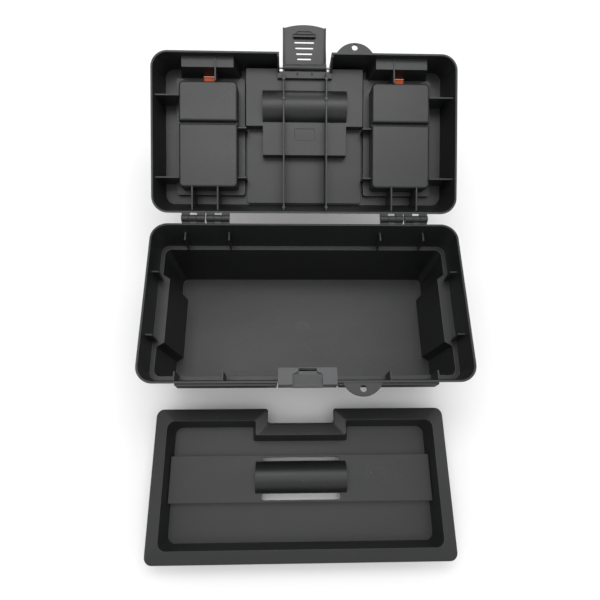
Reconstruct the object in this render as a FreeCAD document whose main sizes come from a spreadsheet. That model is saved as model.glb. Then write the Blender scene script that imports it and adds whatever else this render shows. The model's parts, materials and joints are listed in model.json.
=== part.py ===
import FreeCAD, Part
import math
import os
# Lidded toolbox with a lift-out tray.
#
# Millimetres, +Z up. The origin is the middle of the underside, the latch faces -Y and the
# hinges face +Y. The lid group is drawn shut and then turned open about the hinge axis; the
# tray is drawn at the origin and then set down in front of the box.

V = FreeCAD.Vector
DOC = FreeCAD.newDocument("toolbox")

# (alias, value, what it drives)
SIZE_TABLE = [
    ("box_width", 410, "outside width over the rims"),
    ("box_depth", 214, "outside depth over the rims"),
    ("base_height", 130, "floor to base rim"),
    ("lid_height", 49, "lid rim to lid top"),
    ("rim_radius", 22, "plan corner radius of both rims"),
    ("wall", 2.5, "shell wall"),
    ("rim_gap", 0.4, "gap between the two rims when shut"),
    ("floor_thick", 3, "base floor"),
    ("collar_drop", 43, "base rim down to the ledge"),
    ("collar_inset_x", 5.5, "inward slope of the collar ends"),
    ("collar_inset_y", 12, "inward slope of the collar front and back"),
    ("ledge_width", 5.6, "flat ledge round the tub"),
    ("ledge_radius", 11, "plan corner radius at the ledge"),
    ("tub_draft_x", 9, "inward slope of the tub ends"),
    ("tub_draft_y", 10, "inward slope of the tub front and back"),
    ("grip_inset", 9.5, "end hand recess depth"),
    ("grip_half", 45, "half length of the end hand recess"),
    ("grip_flare", 7, "slant at each end of the hand recess"),
    ("rib_thick", 2, "collar and lid ribs"),
    ("seat_drop", 14, "base rim down to the tray seat ribs"),
    ("seat_outer_x", 162, "outer seat ribs from the middle"),
    ("seat_inner_x", 103, "inner seat ribs from the middle"),
    ("gusset_y", 43, "end ribs from the middle"),
    ("rail_inner_x", 37, "front rail inner end"),
    ("rail_outer_x", 158, "front rail outer end"),
    ("rail_out", 2.5, "front rail past the rim"),
    ("rail_drop", 3, "base rim down to the front rail"),
    ("rail_tall", 15, "front rail height"),
    ("rail_round", 2, "front rail ends"),
    ("ear_x", 66, "padlock ear from the middle"),
    ("ear_half", 24, "half width of the padlock ear"),
    ("base_ear_out", 16, "base ear past the rim"),
    ("lid_ear_out", 13, "lid ear past the rim"),
    ("ear_thick", 3, "padlock ears"),
    ("ear_hole", 8, "padlock hole diameter"),
    ("ear_hole_out", 7, "padlock hole centre past the rim"),
    ("hinge_out", 7, "hinge axis behind the rim"),
    ("hinge_up", 1.2, "hinge axis above the base rim"),
    ("hinge_inner_x", 101.5, "inner end of each hinge"),
    ("unit_width", 30.5, "one hinge unit"),
    ("unit_gap", 2.5, "space between the two units of a hinge"),
    ("tongue_width", 9.5, "base tongue in a hinge unit"),
    ("knuckle_side", 0.5, "side gap between knuckles"),
    ("knuckle_radius", 4.6, "hinge knuckles"),
    ("pin_radius", 1.6, "hinge, latch and cover pins"),
    ("run_gap", 0.05, "radial clearance where a part turns on a pin"),
    ("turn_gap", 0.3, "gap between curved faces that pass each other"),
    ("lid_open", 158, "lid swing from shut to its stop, degrees"),
    ("roof_inset_x", 6.5, "lid ends slope in to the roof"),
    ("roof_inset_back", 17, "lid back slopes in to the roof"),
    ("roof_inset_front", 2.5, "lid front slopes in to the roof"),
    ("roof_radius", 15, "plan corner radius of the roof"),
    ("bin_x", 131.5, "bin centre from the middle"),
    ("bin_half", 39.5, "half width of a bin"),
    ("bin_back_in", 37, "back rim edge in to the bins"),
    ("bin_front_in", 34, "front rim edge in to the bins"),
    ("bin_split", -17.5, "middle of the groove between the two bin halves"),
    ("bin_rise", 12, "lid rim up to the underside of the bins"),
    ("bin_round", 3, "rounded bin edges"),
    ("groove_width", 3.6, "groove between bin halves"),
    ("groove_depth", 7, "groove depth"),
    ("deck_half", 48, "half width of the sunk cover seat"),
    ("deck_back_in", 31, "back rim edge in to the cover seat"),
    ("deck_front_in", 20, "front rim edge in to the cover seat"),
    ("deck_drop", 11, "lid top down to the underside of the cover seat"),
    ("scoop_half", 39, "half width of the finger scoop"),
    ("scoop_taper", 4, "slant at the ends of the finger scoop"),
    ("scoop_back_in", 17, "front rim edge in to the back of the finger scoop"),
    ("scoop_rise", 10, "lid rim up to the underside of the scoop"),
    ("panel_half", 81, "half width of the middle panel"),
    ("panel_back_in", 21, "back rim edge in to the middle panel"),
    ("panel_front_in", 10, "front rim edge in to the middle panel"),
    ("panel_drop", 7, "lid top down to the underside of the middle panel"),
    ("well_half", 58, "half width of the handle well"),
    ("well_back", 22, "back of the handle well"),
    ("well_step", -18, "where the handle well widens"),
    ("well_drop", 22, "lid top down to the underside of the handle well"),
    ("trough_y", -45, "middle of the knuckle trough"),
    ("trough_half", 22, "half width of the knuckle trough"),
    ("trough_drop", 15, "trough below the handle well"),
    ("long_rib_x", 29, "long lid ribs from the middle"),
    ("long_rib_rise", 10, "lid rim up to the lid ribs"),
    ("handle_y", -6, "handle pivot"),
    ("handle_down", 12, "lid top down to the handle pivot"),
    ("handle_half", 55, "half width of the handle"),
    ("handle_arm", 40, "handle pivot to the middle of the grip"),
    ("grip_radius", 10, "handle grip"),
    ("arm_thick", 6, "handle arm"),
    ("arm_radius", 6, "handle arm at the pivot"),
    ("niche_half", 35, "half width of the latch niche"),
    ("niche_back_in", 20, "front rim edge in to the back of the latch niche"),
    ("niche_rise", 22, "lid rim up to the underside of the niche"),
    ("latch_in", 6, "front rim edge in to the latch pivot"),
    ("latch_down", 15, "lid top down to the latch pivot"),
    ("flap_half", 30.5, "half width of the latch flap"),
    ("flap_out", 9.5, "front of the flap past the rim"),
    ("flap_thick", 2.5, "latch flap"),
    ("flap_down", 9, "lid top down to the top of the flap"),
    ("flap_drop", 27, "flap below the lid rim"),
    ("flap_open", 82, "latch swing, degrees"),
    ("barrel_radius", 5, "latch barrel"),
    ("catch_half", 35.5, "half width of the latch catch"),
    ("catch_in", 18.5, "catch inward from the rim edge"),
    ("hook_half", 18, "half width of the catch hook"),
    ("hook_out", 4.5, "catch hook past the rim"),
    ("hook_drop", 9, "catch hook below the base rim"),
    ("hook_gap", 0.4, "gap between catch and flap hooks"),
    ("cover_gap", 0.6, "gap round an organiser cover"),
    ("cover_thick", 2.4, "organiser cover"),
    ("cover_sunk", 0.3, "cover below the roof"),
    ("cover_pivot_in", 3.5, "cover pivot in front of the seat back"),
    ("cover_pivot_down", 2.6, "cover pivot below the roof"),
    ("cover_tail", 2.3, "cover behind its pivot"),
    ("clip_half", 8.5, "half width of a clip"),
    ("clip_thick", 6.5, "clip leg"),
    ("clip_below", 3, "clip hook below the cover seat"),
    ("tray_gap", 1.4, "gap between tray rim and collar, front and back, at the ledge"),
    ("tray_side_gap", 6, "gap between tray rim and collar at the ends"),
    ("tray_height", 36, "tray height"),
    ("tray_wall", 2.2, "tray wall"),
    ("tray_radius", 10, "tray plan corner radius"),
    ("tray_rim", 16, "tray rim width"),
    ("tray_rim_fall", 4, "tray rim slope"),
    ("tray_draft", 5, "tray tub slope"),
    ("notch_half", 44.2, "half width of the tray notch"),
    ("notch_deep", 19, "depth of the tray notch"),
    ("ridge_rise", 13, "raised middle bay"),
    ("ridge_back", 34, "raised bay, notch side"),
    ("ridge_front", -24.5, "raised bay, plain side"),
    ("tray_grip_half", 60, "half length of the tray grip"),
    ("tray_grip_y", 6.5, "middle of the tray grip"),
    ("tray_grip_width", 40, "tray grip across"),
    ("tray_grip_rise", 17, "tray grip above the raised bay"),
    ("slot_half", 52, "half length of the finger slots"),
    ("tray_ahead", 16.5, "set-down tray in front of the base rim"),
    ("tray_aside", -6, "set-down tray sideways"),
]


class Size:
    """A number that also carries the spreadsheet expression it came from."""

    def __init__(self, value, text):
        self.value = float(value)
        self.text = text

    @staticmethod
    def of(thing):
        return thing if isinstance(thing, Size) else Size(thing, repr(float(thing)))

    def join(self, other, sign, value):
        return Size(value, "(%s %s %s)" % (self.text, sign, other.text))

    def __add__(self, other):
        other = Size.of(other)
        return self.join(other, "+", self.value + other.value)

    def __sub__(self, other):
        other = Size.of(other)
        return self.join(other, "-", self.value - other.value)

    def __mul__(self, other):
        other = Size.of(other)
        return self.join(other, "*", self.value * other.value)

    def __truediv__(self, other):
        other = Size.of(other)
        return self.join(other, "/", self.value / other.value)

    def __radd__(self, other):
        return Size.of(other) + self

    def __rsub__(self, other):
        return Size.of(other) - self

    def __rmul__(self, other):
        return Size.of(other) * self

    def __neg__(self):
        return Size(-self.value, "(0 - %s)" % self.text)


class Sizes:
    """The spreadsheet, read as attributes."""

    def __init__(self, table):
        sheet = DOC.addObject("Spreadsheet::Sheet", "Sizes")
        for row, (alias, value, note) in enumerate(table, start=1):
            sheet.set("A%d" % row, alias)
            sheet.set("B%d" % row, str(value))
            sheet.set("C%d" % row, note)
            sheet.setAlias("B%d" % row, alias)
            setattr(self, alias, Size(value, "Sizes." + alias))
        DOC.recompute()


s = Sizes(SIZE_TABLE)


# ---------------------------------------------------------------- helpers

def new_body(label):
    body = DOC.addObject("PartDesign::Body", label)
    body.Label = label
    return body


def origin_plane(body, role):
    for feature in body.Origin.OriginFeatures:
        if feature.Role == role:
            return feature
    raise RuntimeError("no plane " + role)


def new_sketch(body, name, plane, offset):
    """plane: "XY" looks along +Z, "XZ" along -Y and "YZ" along +X; offset is along that."""
    sketch = body.newObject("Sketcher::SketchObject", name)
    sketch.AttachmentSupport = [(origin_plane(body, plane + "_Plane"), "")]
    sketch.MapMode = "FlatFace"
    offset = Size.of(offset)
    sketch.AttachmentOffset = FreeCAD.Placement(V(0, 0, offset.value), FreeCAD.Rotation())
    sketch.setExpression("AttachmentOffset.Base.z", offset.text)
    return sketch


def drive(sketch, kind, args, size):
    index = sketch.addConstraint(Sketcher.Constraint(kind, *args, size.value))
    sketch.setExpression("Constraints[%d]" % index, size.text)


def pin_point(sketch, geo, end, x, y):
    """Hold one end of a piece of geometry at (x, y) from the sketch origin."""
    for kind, size in (("DistanceX", x), ("DistanceY", y)):
        drive(sketch, kind, (-1, 1, geo, end), size)


def toward(a, b):
    return 0 if abs(b - a) < 1e-6 else (1 if b > a else -1)


def add_loop(sketch, corners):
    """Closed outline. A corner is (x, y) or (x, y, r); a rounded one needs square sides."""
    corners = [tuple(Size.of(c) for c in corner) for corner in corners]
    count = len(corners)
    ends = []
    for i, corner in enumerate(corners):
        x, y = corner[:2]
        if len(corner) == 2:
            ends.append(((x, y), (x, y)))
            continue
        pair = []
        for other in (corners[i - 1], corners[(i + 1) % count]):
            dx = toward(x.value, other[0].value)
            dy = toward(y.value, other[1].value)
            pair.append((x + corner[2] * dx, y + corner[2] * dy))
        ends.append(tuple(pair))
    lines = []
    for i in range(count):
        start = ends[i][1]
        stop = ends[(i + 1) % count][0]
        line = sketch.addGeometry(Part.LineSegment(V(start[0].value, start[1].value, 0),
                                                   V(stop[0].value, stop[1].value, 0)), False)
        pin_point(sketch, line, 1, *start)
        lines.append(line)
        if len(corners[(i + 1) % count]) == 3:
            pin_point(sketch, line, 2, *stop)
    for i, corner in enumerate(corners):
        before, after = lines[i - 1], lines[i]
        if len(corner) == 2:
            sketch.addConstraint(Sketcher.Constraint("Coincident", before, 2, after, 1))
            continue
        (ax, ay), (bx, by) = ends[i]
        centre = V(ax.value + bx.value - corner[0].value, ay.value + by.value - corner[1].value, 0)
        corner_at = V(corner[0].value, corner[1].value, 0)
        middle = centre + (corner_at - centre).normalize() * corner[2].value
        arc = sketch.addGeometry(Part.Arc(V(ax.value, ay.value, 0), middle,
                                          V(bx.value, by.value, 0)), False)
        start = sketch.getPoint(arc, 1)
        first = 1 if start.distanceToPoint(V(ax.value, ay.value, 0)) < 1e-4 else 2
        sketch.addConstraint(Sketcher.Constraint("Coincident", before, 2, arc, first))
        sketch.addConstraint(Sketcher.Constraint("Coincident", after, 1, arc, 3 - first))
        drive(sketch, "Radius", (arc,), corner[2])


def add_circle(sketch, x, y, radius):
    x, y, radius = Size.of(x), Size.of(y), Size.of(radius)
    circle = sketch.addGeometry(Part.Circle(V(x.value, y.value, 0), V(0, 0, 1), radius.value),
                                False)
    pin_point(sketch, circle, 3, x, y)
    drive(sketch, "Radius", (circle,), radius)


def box(x0, x1, y0, y1, r=None):
    """Corners of a rectangle, rounded when r is given."""
    corners = [(x0, y0), (x1, y0), (x1, y1), (x0, y1)]
    return corners if r is None else [corner + (r,) for corner in corners]


def centred(width, depth, r=None, y=0):
    half = Size.of(width) / 2
    return box(-half, half, y - Size.of(depth) / 2, y + Size.of(depth) / 2, r)


def outline(body, name, plane, offset, *loops):
    sketch = new_sketch(body, name, plane, offset)
    for loop in loops:
        add_loop(sketch, loop)
    return sketch


def circles(body, name, plane, offset, *rounds):
    sketch = new_sketch(body, name, plane, offset)
    for x, y, radius in rounds:
        add_circle(sketch, x, y, radius)
    return sketch


def loft(body, name, first, second, cut=False):
    kind = "PartDesign::SubtractiveLoft" if cut else "PartDesign::AdditiveLoft"
    feature = body.newObject(kind, name)
    feature.Profile = (first, [""])
    feature.Sections = [(second, [""])]
    feature.Ruled = True
    make_tip(body, feature)
    return feature


def extrude(body, name, sketch, length, cut=False, back=False):
    """Pad along the sketch normal or pocket against it; back turns either round."""
    feature = body.newObject("PartDesign::Pocket" if cut else "PartDesign::Pad", name)
    feature.Profile = (sketch, [""])
    length = Size.of(length)
    feature.Length = length.value
    feature.setExpression("Length", length.text)
    feature.Reversed = back
    make_tip(body, feature)
    return feature


def make_tip(body, feature):
    feature.Refine = False
    body.Tip = feature


def mirror_x(corners):
    """The same outline on the other side of x = 0."""
    return [(-Size.of(c[0]),) + tuple(c[1:]) for c in reversed(corners)]


def add_segment(sketch, x, y, half, rise):
    """Chord of half-length `half` about (x, y) with an arc standing `rise` off it."""
    x, y, half, rise = (Size.of(thing) for thing in (x, y, half, rise))
    sign = 1 if rise.value > 0 else -1
    left, right = V((x - half).value, y.value, 0), V((x + half).value, y.value, 0)
    chord = sketch.addGeometry(Part.LineSegment(left, right), False)
    arc = sketch.addGeometry(Part.Arc(left, V(x.value, (y + rise).value, 0), right), False)
    pin_point(sketch, chord, 1, x - half, y)
    pin_point(sketch, chord, 2, x + half, y)
    first = 1 if sketch.getPoint(arc, 1).distanceToPoint(left) < 1e-4 else 2
    sketch.addConstraint(Sketcher.Constraint("Coincident", chord, 1, arc, first))
    sketch.addConstraint(Sketcher.Constraint("Coincident", chord, 2, arc, 3 - first))
    drive(sketch, "Radius", (arc,), chord_radius(half, rise * sign))


def chord_radius(half, rise):
    return (half * half + rise * rise) / (2 * rise)


def cosine(angle):
    return Size(math.cos(math.radians(angle.value)), "cos(%s * 1 deg)" % angle.text)


def sine(angle):
    return Size(math.sin(math.radians(angle.value)), "sin(%s * 1 deg)" % angle.text)


def swing(thing, turns):
    """Place a part after turns (angle, y, z) about axes along -X, the first one innermost."""
    total, y, z = Size.of(0), Size.of(0), Size.of(0)
    for angle, cy, cz in turns:
        dy, dz = y - cy, z - cz
        y = dy * cosine(angle) + dz * sine(angle) + cy
        z = dz * cosine(angle) - dy * sine(angle) + cz
        total = total + angle
    thing.Placement = FreeCAD.Placement(V(0, y.value, z.value),
                                        FreeCAD.Rotation(V(-1, 0, 0), total.value))
    thing.setExpression("Placement.Base.y", y.text)
    thing.setExpression("Placement.Base.z", z.text)
    thing.setExpression("Placement.Rotation.Angle", total.text + " * 1 deg")


def round_edges(body, name, radius, wanted):
    """Fillet the edges of the current tip for which wanted(edge) holds."""
    DOC.recompute()
    tip = body.Tip
    names = ["Edge%d" % i for i, edge in enumerate(tip.Shape.Edges, start=1) if wanted(edge)]
    if not names:
        raise RuntimeError("no edges for " + name)
    feature = body.newObject("PartDesign::Fillet", name)
    feature.Base = (tip, names)
    feature.Radius = radius.value
    feature.setExpression("Radius", radius.text)
    make_tip(body, feature)


def level_edges(z, tolerance=0.01):
    """Test for edges that lie flat at height z."""
    def wanted(edge):
        bounds = edge.BoundBox
        return abs(bounds.ZMin - z.value) < tolerance and abs(bounds.ZMax - z.value) < tolerance
    return wanted


def bar(name, x0, x1, y, z, radius):
    """Plain cylinder along X."""
    x0, x1, y, z, radius = (Size.of(thing) for thing in (x0, x1, y, z, radius))
    rod = DOC.addObject("Part::Cylinder", name)
    rod.Placement = FreeCAD.Placement(V(x0.value, y.value, z.value),
                                      FreeCAD.Rotation(V(0, 1, 0), 90))
    for path, size in (("Radius", radius), ("Height", x1 - x0), ("Placement.Base.x", x0),
                       ("Placement.Base.y", y), ("Placement.Base.z", z)):
        rod.setExpression(path, size.text)
    return rod


def group(name, members):
    compound = DOC.addObject("Part::Compound", name)
    compound.Label = name
    compound.Links = members
    return compound


# ---------------------------------------------------------------- shared levels and lines

half_w = s.box_width / 2
half_d = s.box_depth / 2
ledge_z = s.base_height - s.collar_drop
collar_x = half_w - s.collar_inset_x
collar_y = half_d - s.collar_inset_y
tub_x = collar_x - s.ledge_width
tub_y = collar_y - s.ledge_width
floor_x = tub_x - s.tub_draft_x
floor_y = tub_y - s.tub_draft_y
seat_z = s.base_height - s.seat_drop
seat_share = (s.collar_drop - s.seat_drop) / s.collar_drop
seat_slope_x = (s.collar_inset_x - s.wall) * seat_share
seat_slope_y = (s.collar_inset_y - s.wall) * seat_share
axis_y = half_d + s.hinge_out
axis_z = s.base_height + s.hinge_up
rim_z = s.base_height + s.rim_gap
top_z = rim_z + s.lid_height
roof_x = half_w - s.roof_inset_x
roof_back = half_d - s.roof_inset_back
roof_front = s.roof_inset_front - half_d
outside = half_d + 20
bin_back, bin_front = half_d - s.bin_back_in, s.bin_front_in - half_d
deck_back, deck_front = half_d - s.deck_back_in, s.deck_front_in - half_d
panel_back, panel_front = half_d - s.panel_back_in, s.panel_front_in - half_d
scoop_back = s.scoop_back_in - half_d
niche_back = s.niche_back_in - half_d
latch_y = s.latch_in - half_d
SIDES = ((-1, "left"), (1, "right"))

# Start of each hinge unit along X, for one side; the other side mirrors it.
unit_starts = (s.hinge_inner_x, s.hinge_inner_x + s.unit_width + s.unit_gap)


def span(side, low, high):
    """The stretch low..high measured outward from the middle, on one side of it."""
    return (low, high) if side > 0 else (-high, -low)


# ---------------------------------------------------------------- base shell

base = new_body("base_shell")
loft(base, "tub_outside",
     outline(base, "tub_foot", "XY", 0,
             centred(2 * (floor_x + s.wall), 2 * (floor_y + s.wall), s.ledge_radius)),
     outline(base, "tub_head", "XY", ledge_z,
             centred(2 * (tub_x + s.wall), 2 * (tub_y + s.wall), s.ledge_radius)))
loft(base, "collar_outside",
     outline(base, "collar_foot", "XY", ledge_z - s.wall,
             centred(2 * (collar_x + s.wall), 2 * (collar_y + s.wall), s.ledge_radius + s.wall)),
     outline(base, "rim_edge", "XY", s.base_height,
             centred(s.box_width, s.box_depth, s.rim_radius)))
rail_low = s.base_height - s.rail_drop - s.rail_tall
rail_plan = box(s.rail_inner_x, s.rail_outer_x, -(half_d + s.rail_out), -collar_y, s.rail_round)
extrude(base, "front_rails",
        outline(base, "rail_plan", "XY", rail_low, rail_plan, mirror_x(rail_plan)), s.rail_tall)
ear_radius = chord_radius(s.ear_half, s.base_ear_out)
ear_low = s.base_height - s.ear_thick - 0.5
extrude(base, "padlock_ear",
        circles(base, "ear_plan", "XY", ear_low,
                (s.ear_x, ear_radius - half_d - s.base_ear_out, ear_radius)),
        s.ear_thick)
loft(base, "tub_hollow",
     outline(base, "floor_line", "XY", s.floor_thick,
             centred(2 * floor_x, 2 * floor_y, s.ledge_radius - s.wall)),
     outline(base, "tub_lip", "XY", ledge_z,
             centred(2 * tub_x, 2 * tub_y, s.ledge_radius - s.wall)), cut=True)
loft(base, "collar_hollow",
     outline(base, "ledge_line", "XY", ledge_z,
             centred(2 * collar_x, 2 * collar_y, s.ledge_radius)),
     outline(base, "rim_line", "XY", s.base_height,
             centred(2 * (half_w - s.wall), 2 * (half_d - s.wall), s.rim_radius - s.wall)),
     cut=True)


def recess_plan(face, outer, half_inner, half_outer):
    return [(face, -half_inner), (outer, -half_outer), (outer, half_outer), (face, half_inner)]


for side, tag in SIDES:
    def end_plan(name, z, face, outer, inner_half, outer_half):
        plan = recess_plan(face, outer, inner_half, outer_half)
        return outline(base, name + tag, "XY", z, plan if side > 0 else mirror_x(plan))

    low_face, high_face = floor_x - s.grip_inset, tub_x - s.grip_inset
    wide = s.grip_half + s.grip_flare
    loft(base, "grip_block_" + tag,
         end_plan("grip_low_", 0, low_face, floor_x + s.wall / 2, s.grip_half, wide),
         end_plan("grip_high_", ledge_z, high_face, tub_x + s.wall / 2, s.grip_half, wide))
    loft(base, "grip_recess_" + tag,
         end_plan("recess_low_", 0, low_face + s.wall, floor_x + 2 * s.wall,
                  s.grip_half - s.wall, wide - s.wall / 2),
         end_plan("recess_high_", ledge_z - s.wall, high_face + s.wall, tub_x + 2 * s.wall,
                  s.grip_half - s.wall, wide - s.wall / 2), cut=True)

for name, at in (("seat_ribs_a", s.seat_outer_x), ("seat_ribs_b", s.seat_inner_x),
                 ("seat_ribs_c", -s.seat_inner_x), ("seat_ribs_d", -s.seat_outer_x)):
    rib = [(tub_y, ledge_z - 1), (collar_y + 1, ledge_z - 1),
           (collar_y + seat_slope_y + 1, seat_z), (tub_y, seat_z)]
    extrude(base, name, outline(base, name + "_side", "YZ", at - s.rib_thick / 2,
                                rib, mirror_x(rib)), s.rib_thick)
for name, at in (("gussets_front", s.gusset_y), ("gussets_back", -s.gusset_y)):
    rib = [(tub_x - 1, ledge_z - 1), (collar_x + 1, ledge_z - 1),
           (collar_x + seat_slope_x + 1, seat_z), (tub_x - 1, seat_z)]
    extrude(base, name, outline(base, name + "_side", "XZ", at - s.rib_thick / 2,
                                rib, mirror_x(rib)), s.rib_thick)

extrude(base, "ear_hole",
        circles(base, "ear_hole_plan", "XY", ear_low - 1,
                (s.ear_x, -(half_d + s.ear_hole_out), s.ear_hole / 2)),
        s.ear_thick + 2, cut=True, back=True)

tongue_inset = (s.unit_width - s.tongue_width) / 2
for side, tag in SIDES:
    for number, start in enumerate(unit_starts, start=1):
        x0, x1 = span(side, start + tongue_inset, start + tongue_inset + s.tongue_width)
        name = "tongue_%s_%d" % (tag, number)
        extrude(base, name + "_web",
                outline(base, name + "_side", "YZ", x0,
                        [(half_d - 2, s.base_height - 7), (axis_y, axis_z - s.knuckle_radius),
                         (axis_y, axis_z), (half_d - 2, s.base_height - 0.5)]),
                s.tongue_width)
        extrude(base, name, circles(base, name + "_eye", "YZ", x0,
                                    (axis_y, axis_z, s.knuckle_radius)), s.tongue_width)
extrude(base, "hinge_bore", circles(base, "hinge_bore_line", "YZ", -half_w,
                                    (axis_y, axis_z, s.pin_radius)),
        s.box_width, cut=True, back=True)

catch_seat_z = s.base_height - 3
extrude(base, "catch_seat",
        outline(base, "catch_seat_plan", "XY", catch_seat_z,
                box(-s.catch_half, s.catch_half, -outside, -(half_d - s.catch_in))),
        10, cut=True, back=True)
extrude(base, "hook_seat",
        outline(base, "hook_seat_plan", "XY", s.base_height - s.hook_drop + 2,
                box(-s.hook_half - 0.3, s.hook_half + 0.3, -outside, -(half_d - s.catch_in))),
        10, cut=True, back=True)

# ---------------------------------------------------------------- latch catch

catch_top = s.base_height - 0.2
catch_back = -(half_d - s.catch_in)
apron_back, apron_front = -(half_d + 0.1), -(half_d + 2.1)
hook_front = -(half_d + s.hook_out)
hook_low = s.base_height - s.hook_drop
catch = new_body("latch_catch")
extrude(catch, "catch_plate",
        outline(catch, "catch_plan", "XY", catch_seat_z,
                box(-s.catch_half, s.catch_half, apron_front, catch_back, 1.5)),
        catch_top - catch_seat_z)
extrude(catch, "catch_apron",
        outline(catch, "apron_plan", "XY", s.base_height - 20,
                box(-s.catch_half, s.catch_half, apron_front, apron_back)), 19)
extrude(catch, "catch_flange",
        outline(catch, "flange_plan", "XY", s.base_height - 16,
                box(-s.catch_half, s.catch_half, catch_back - 2, catch_back)), 14)
extrude(catch, "hook_space",
        outline(catch, "hook_plan", "XY", catch_seat_z - 1,
                [(-s.hook_half, -outside), (s.hook_half, -outside),
                 (s.hook_half, catch_back - 8), (s.hook_half - 7, catch_back - 4.5),
                 (s.hook_half - 7, catch_back - 1), (7 - s.hook_half, catch_back - 1),
                 (7 - s.hook_half, catch_back - 4.5), (-s.hook_half, catch_back - 8)]),
        6, cut=True, back=True)
extrude(catch, "hook",
        outline(catch, "hook_side", "YZ", -s.hook_half,
                [(catch_back - 8, catch_top - 1), (catch_back - 8, catch_top - 3.5),
                 (apron_back, hook_low + 3), (apron_back, hook_low), (hook_front, hook_low),
                 (hook_front, hook_low + 4)]),
        2 * s.hook_half)
extrude(catch, "hook_root",
        outline(catch, "root_side", "YZ", 7 - s.hook_half,
                [(catch_back - 4.2, catch_top - 0.5), (catch_back - 4.2, catch_top - 3.2),
                 (catch_back - 9, catch_top - 4), (catch_back - 9, catch_top - 1)]),
        2 * s.hook_half - 14)

# ---------------------------------------------------------------- lid shell

lid = new_body("lid_shell")
loft(lid, "lid_outside",
     outline(lid, "lid_rim", "XY", rim_z, centred(s.box_width, s.box_depth, s.rim_radius)),
     outline(lid, "roof_edge", "XY", top_z,
             box(-roof_x, roof_x, roof_front, roof_back, s.roof_radius)))
ear_radius = chord_radius(s.ear_half, s.lid_ear_out)
extrude(lid, "padlock_ear",
        circles(lid, "ear_plan", "XY", rim_z,
                (s.ear_x, ear_radius - half_d - s.lid_ear_out, ear_radius)), s.ear_thick)
loft(lid, "lid_hollow",
     outline(lid, "rim_line", "XY", rim_z,
             centred(2 * (half_w - s.wall), 2 * (half_d - s.wall), s.rim_radius - s.wall)),
     outline(lid, "roof_line", "XY", top_z - s.wall,
             box(s.wall - roof_x, roof_x - s.wall, roof_front + s.wall, roof_back - s.wall,
                 s.roof_radius - s.wall)), cut=True)

bin_z = rim_z + s.bin_rise
deck_z = top_z - s.deck_drop
panel_z = top_z - s.panel_drop
well_z = top_z - s.well_drop
scoop_z = rim_z + s.scoop_rise
niche_z = rim_z + s.niche_rise
rib_z = rim_z + s.long_rib_rise


def both_sides(corners):
    return [corners, mirror_x(corners)]


def bin_box(grow, y0, y1, r=None):
    return both_sides(box(s.bin_x - s.bin_half - grow, s.bin_x + s.bin_half + grow, y0, y1, r))


extrude(lid, "bins", outline(lid, "bin_plan", "XY", bin_z,
                             *bin_box(0, bin_front, bin_back, 6)),
        s.lid_height - s.bin_rise - s.wall / 2)
extrude(lid, "bin_grooves",
        outline(lid, "groove_plan", "XY", bin_z,
                *bin_box(1, s.bin_split - s.groove_width / 2, s.bin_split + s.groove_width / 2)),
        s.groove_depth, cut=True, back=True)
round_edges(lid, "bin_rounding", s.bin_round, level_edges(bin_z))
extrude(lid, "decks",
        outline(lid, "deck_plan", "XY", deck_z,
                *both_sides(box(s.bin_x - s.deck_half, s.bin_x + s.deck_half,
                                deck_front, deck_back, 4))),
        s.deck_drop)
for side, tag in SIDES:
    def scoop_plan(name, z, half, front, back):
        x0, x1 = span(side, s.bin_x - half, s.bin_x + half)
        return outline(lid, name + tag, "XY", z, box(x0, x1, front, back))

    loft(lid, "scoop_" + tag,
         scoop_plan("scoop_low_", scoop_z, s.scoop_half - s.scoop_taper,
                    1 - half_d, scoop_back),
         scoop_plan("scoop_high_", top_z, s.scoop_half + s.scoop_taper,
                    roof_front + 1, scoop_back + s.scoop_taper))
extrude(lid, "panel",
        outline(lid, "panel_plan", "XY", panel_z,
                box(-s.panel_half, s.panel_half, panel_front, panel_back, 4)),
        s.panel_drop)


def well_plan(inset):
    wide, narrow = s.panel_half - inset, s.well_half - inset
    front, step, back = panel_front + inset, s.well_step - inset, s.well_back - inset
    return [(-wide, front), (wide, front), (wide, step), (narrow, step), (narrow, back),
            (-narrow, back), (-narrow, step), (-wide, step)]


extrude(lid, "well", outline(lid, "well_plan", "XY", well_z, well_plan(Size.of(0))),
        s.well_drop)
trough = new_sketch(lid, "trough_side", "YZ", -s.well_half)
add_segment(trough, s.trough_y, well_z + 0.5, s.trough_half, -(s.trough_drop + 0.5))
extrude(lid, "trough", trough, 2 * s.well_half)
extrude(lid, "niche_lip",
        outline(lid, "niche_plan", "XY", niche_z,
                box(-(s.niche_half + s.wall), s.niche_half + s.wall,
                    niche_back - 5, niche_back + 5)),
        s.lid_height - s.niche_rise)
cheek = [(1.5 - half_d, rim_z + 0.5), (6 - half_d, rim_z + 0.5),
         (niche_back, niche_z + 3), (niche_back, top_z - 1), (roof_front + 1, top_z - 1)]
extrude(lid, "cheek_left", outline(lid, "cheek_left_side", "YZ", -(s.niche_half + s.wall), cheek),
        s.wall)
extrude(lid, "cheek_right", outline(lid, "cheek_right_side", "YZ", s.niche_half, cheek), s.wall)


def rib_along_y(name, x, y0, y1, z):
    """Rib from the lid roof down to z, running front to back at x."""
    extrude(lid, name, outline(lid, name + "_plan", "YZ", x - s.rib_thick / 2,
                               [(y0, z), (y1, z), (y1, top_z - 1), (y0, top_z - 1)]),
            s.rib_thick)


# The back wall leans in, so a rib that ends on it gets a leaning end.
def rib_to_back(name, x, y0, z):
    lean = s.roof_inset_back / s.lid_height
    foot = half_d - s.wall / 2 - (z - rim_z) * lean
    head = roof_back - s.wall / 2 + lean
    extrude(lid, name, outline(lid, name + "_plan", "YZ", x - s.rib_thick / 2,
                               [(y0, z), (foot, z), (head, top_z - 1), (y0, top_z - 1)]),
            s.rib_thick)


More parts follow.
